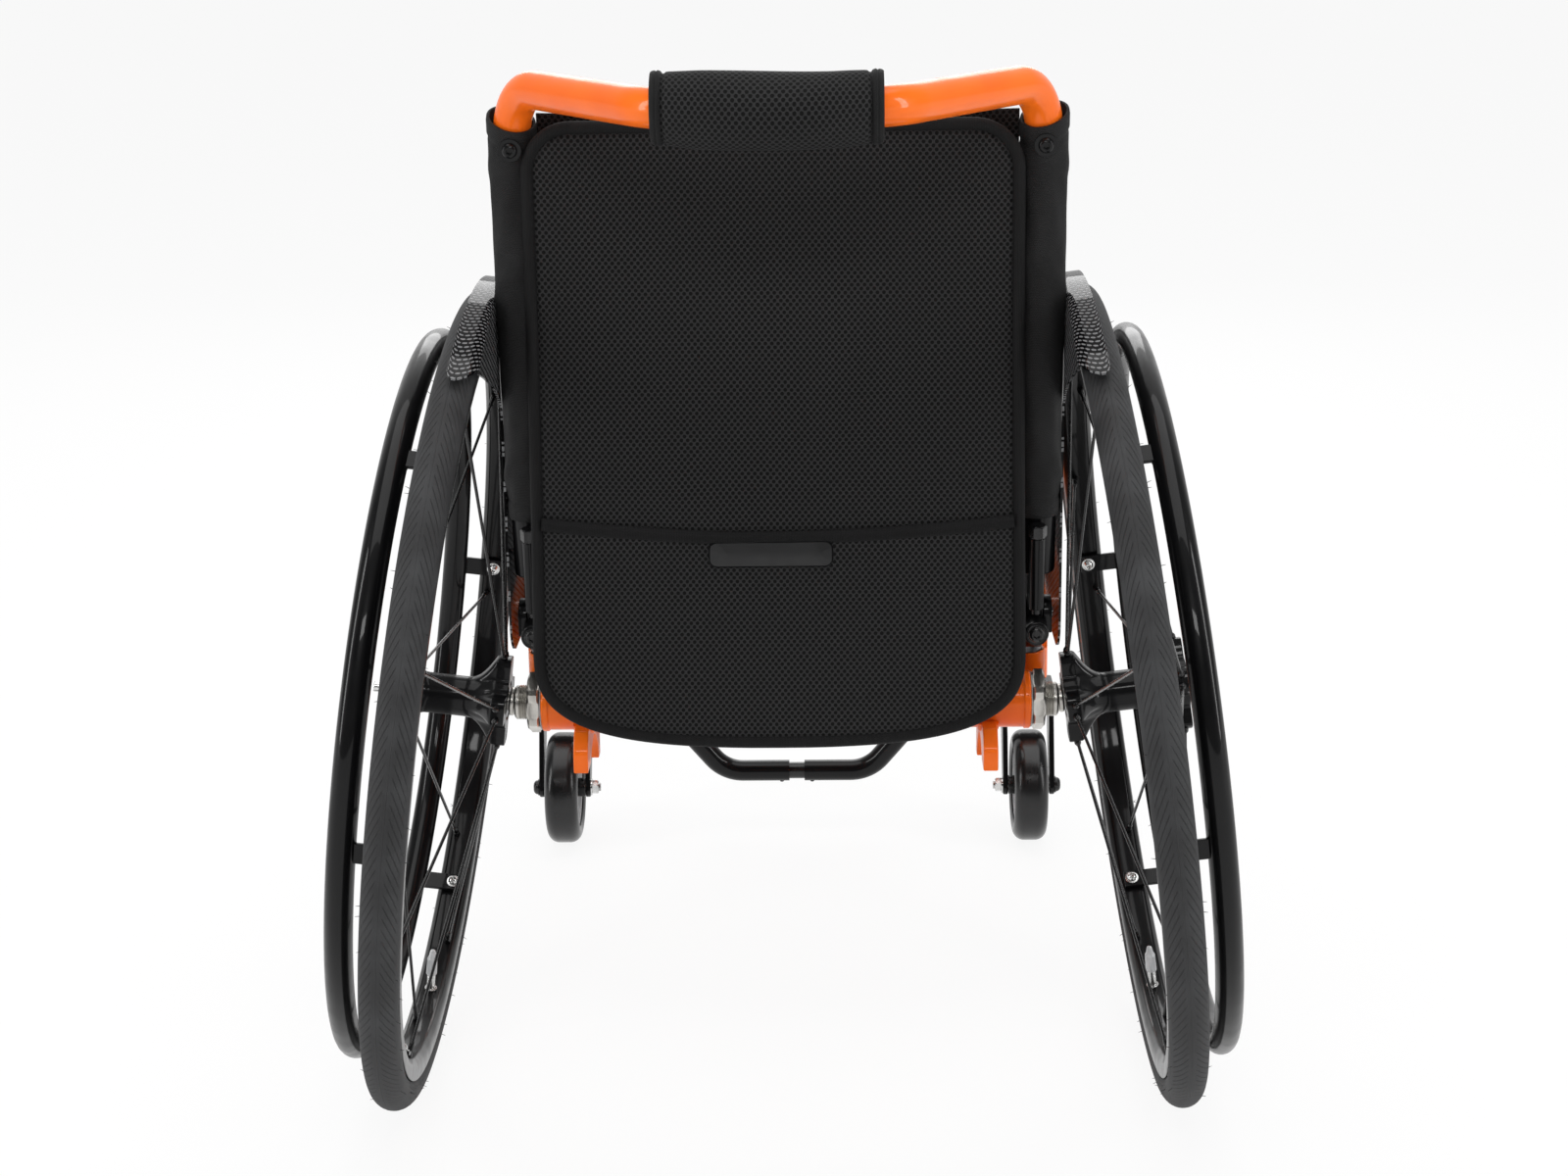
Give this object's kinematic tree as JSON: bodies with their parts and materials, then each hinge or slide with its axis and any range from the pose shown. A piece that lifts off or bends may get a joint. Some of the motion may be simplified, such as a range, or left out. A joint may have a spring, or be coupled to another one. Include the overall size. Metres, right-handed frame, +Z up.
{
  "type": "sports wheelchair",
  "caption": "Rigid-frame sports wheelchair with cambered spoked wheels, push rings, carbon side guards, casters, tube footrest and a forward-folding backrest with push bar.",
  "frame": {"origin": "on the floor, at the middle of the chair's length and width", "axes": "+Y forward, the way the seated person looks; +X to that person's right; +Z up"},
  "size_m": [0.6302, 0.798, 0.7564],
  "materials": {
    "orange_paint": "gloss orange paint",
    "black_paint": "gloss black paint",
    "silver_metal": "satin",
    "dark_tube": "dark grey, satin",
    "black_rim": "black anodised, satin",
    "tyre_rubber": "charcoal, matte",
    "caster_rubber": "black, matte",
    "caster_plastic": "light grey",
    "carbon_fibre": "carbon twill under clear gloss",
    "black_fabric": "black, spacer mesh and webbing",
    "black_pad": "black, padded sleeve"
  },
  "bodies": {
    "frame": {"axle_tube": "orange_paint", "front_cross_tube": "orange_paint", "seat_sling": "black_fabric", "footrest_connector": "black_paint", "anti_tip_bracket_right": "orange_paint", "anti_tip_bracket_left": "orange_paint", "seat_rail_right": "orange_paint", "seat_rail_left": "orange_paint", "height_insert_right": "dark_tube", "height_insert_left": "dark_tube", "pivot_bracket_right": "black_paint", "pivot_bracket_left": "black_paint", "pivot_bolt_right": "black_paint", "pivot_bolt_left": "black_paint", "hinge_pin_right": "silver_metal", "hinge_pin_left": "silver_metal", "camber_sleeve_right": "silver_metal", "camber_sleeve_left": "silver_metal", "camber_nut_right": "silver_metal", "camber_nut_left": "silver_metal", "caster_housing_right": "orange_paint", "caster_housing_left": "orange_paint", "side_guard_right": "carbon_fibre", "side_guard_left": "carbon_fibre", "footrest_tube_right": "black_paint", "footrest_tube_left": "black_paint", "quick_release_axle_right": "silver_metal", "quick_release_axle_left": "silver_metal"},
    "backrest": {"push_bar": "orange_paint", "grip_sleeve": "black_pad", "back_panel": "black_fabric", "back_upholstery": "black_fabric", "back_post_right": "black_paint", "back_post_left": "black_paint", "back_sleeve_right": "black_fabric", "back_sleeve_left": "black_fabric", "cover_bolt_right": "black_paint", "cover_bolt_left": "black_paint", "stop_tube_right": "black_paint", "stop_tube_left": "black_paint", "stop_screw_right": "black_paint", "stop_screw_left": "black_paint"},
    "drive_wheel_right": {"tyre_right": "tyre_rubber", "rim_right": "black_rim", "hub_right": "black_rim", "handrim_right": "black_paint"},
    "axle_button_right": {"release_button_right": "silver_metal"},
    "caster_swivel_right": {"caster_fork_right": "black_paint", "caster_axle_right": "silver_metal"},
    "caster_wheel_right": {"caster_tyre_right": "caster_rubber", "caster_hub_right": "caster_plastic"},
    "drive_wheel_left": {"tyre_left": "tyre_rubber", "rim_left": "black_rim", "hub_left": "black_rim", "handrim_left": "black_paint"},
    "axle_button_left": {"release_button_left": "silver_metal"},
    "caster_swivel_left": {"caster_fork_left": "black_paint", "caster_axle_left": "silver_metal"},
    "caster_wheel_left": {"caster_tyre_left": "caster_rubber", "caster_hub_left": "caster_plastic"}
  },
  "joints": [
    {"name": "backrest_fold", "type": "hinge", "parent": "frame", "child": "backrest", "pos_m": [0, -0.10405, 0.352], "axis": [-1, 0, 0], "range_deg": [0, 87]},
    {"name": "drive_wheel_right_spin", "type": "hinge", "parent": "frame", "child": "drive_wheel_right", "pos_m": [0.24393, -0.10405, 0.2929], "axis": [0.9925, 0, 0.1219], "continuous": true},
    {"name": "release_button_right_press", "type": "slide", "parent": "frame", "child": "axle_button_right", "axis": [-0.9925, 0, -0.1219], "range_m": [0, 0.005], "stiffness_N_per_m": 400},
    {"name": "caster_right_swivel", "type": "hinge", "parent": "frame", "child": "caster_swivel_right", "pos_m": [0.2105, 0.37895, 0.15], "axis": [0, 0, 1], "continuous": true},
    {"name": "caster_right_roll", "type": "hinge", "parent": "caster_swivel_right", "child": "caster_wheel_right", "pos_m": [0.2105, 0.34895, 0.05], "axis": [1, 0, 0], "continuous": true},
    {"name": "drive_wheel_left_spin", "type": "hinge", "parent": "frame", "child": "drive_wheel_left", "pos_m": [-0.24393, -0.10405, 0.2929], "axis": [0.9925, 0, -0.1219], "continuous": true},
    {"name": "release_button_left_press", "type": "slide", "parent": "frame", "child": "axle_button_left", "axis": [0.9925, 0, -0.1219], "range_m": [0, 0.005], "stiffness_N_per_m": 400},
    {"name": "caster_left_swivel", "type": "hinge", "parent": "frame", "child": "caster_swivel_left", "pos_m": [-0.2105, 0.37895, 0.15], "axis": [0, 0, 1], "continuous": true},
    {"name": "caster_left_roll", "type": "hinge", "parent": "caster_swivel_left", "child": "caster_wheel_left", "pos_m": [-0.2105, 0.34895, 0.05], "axis": [1, 0, 0], "continuous": true}
  ]
}
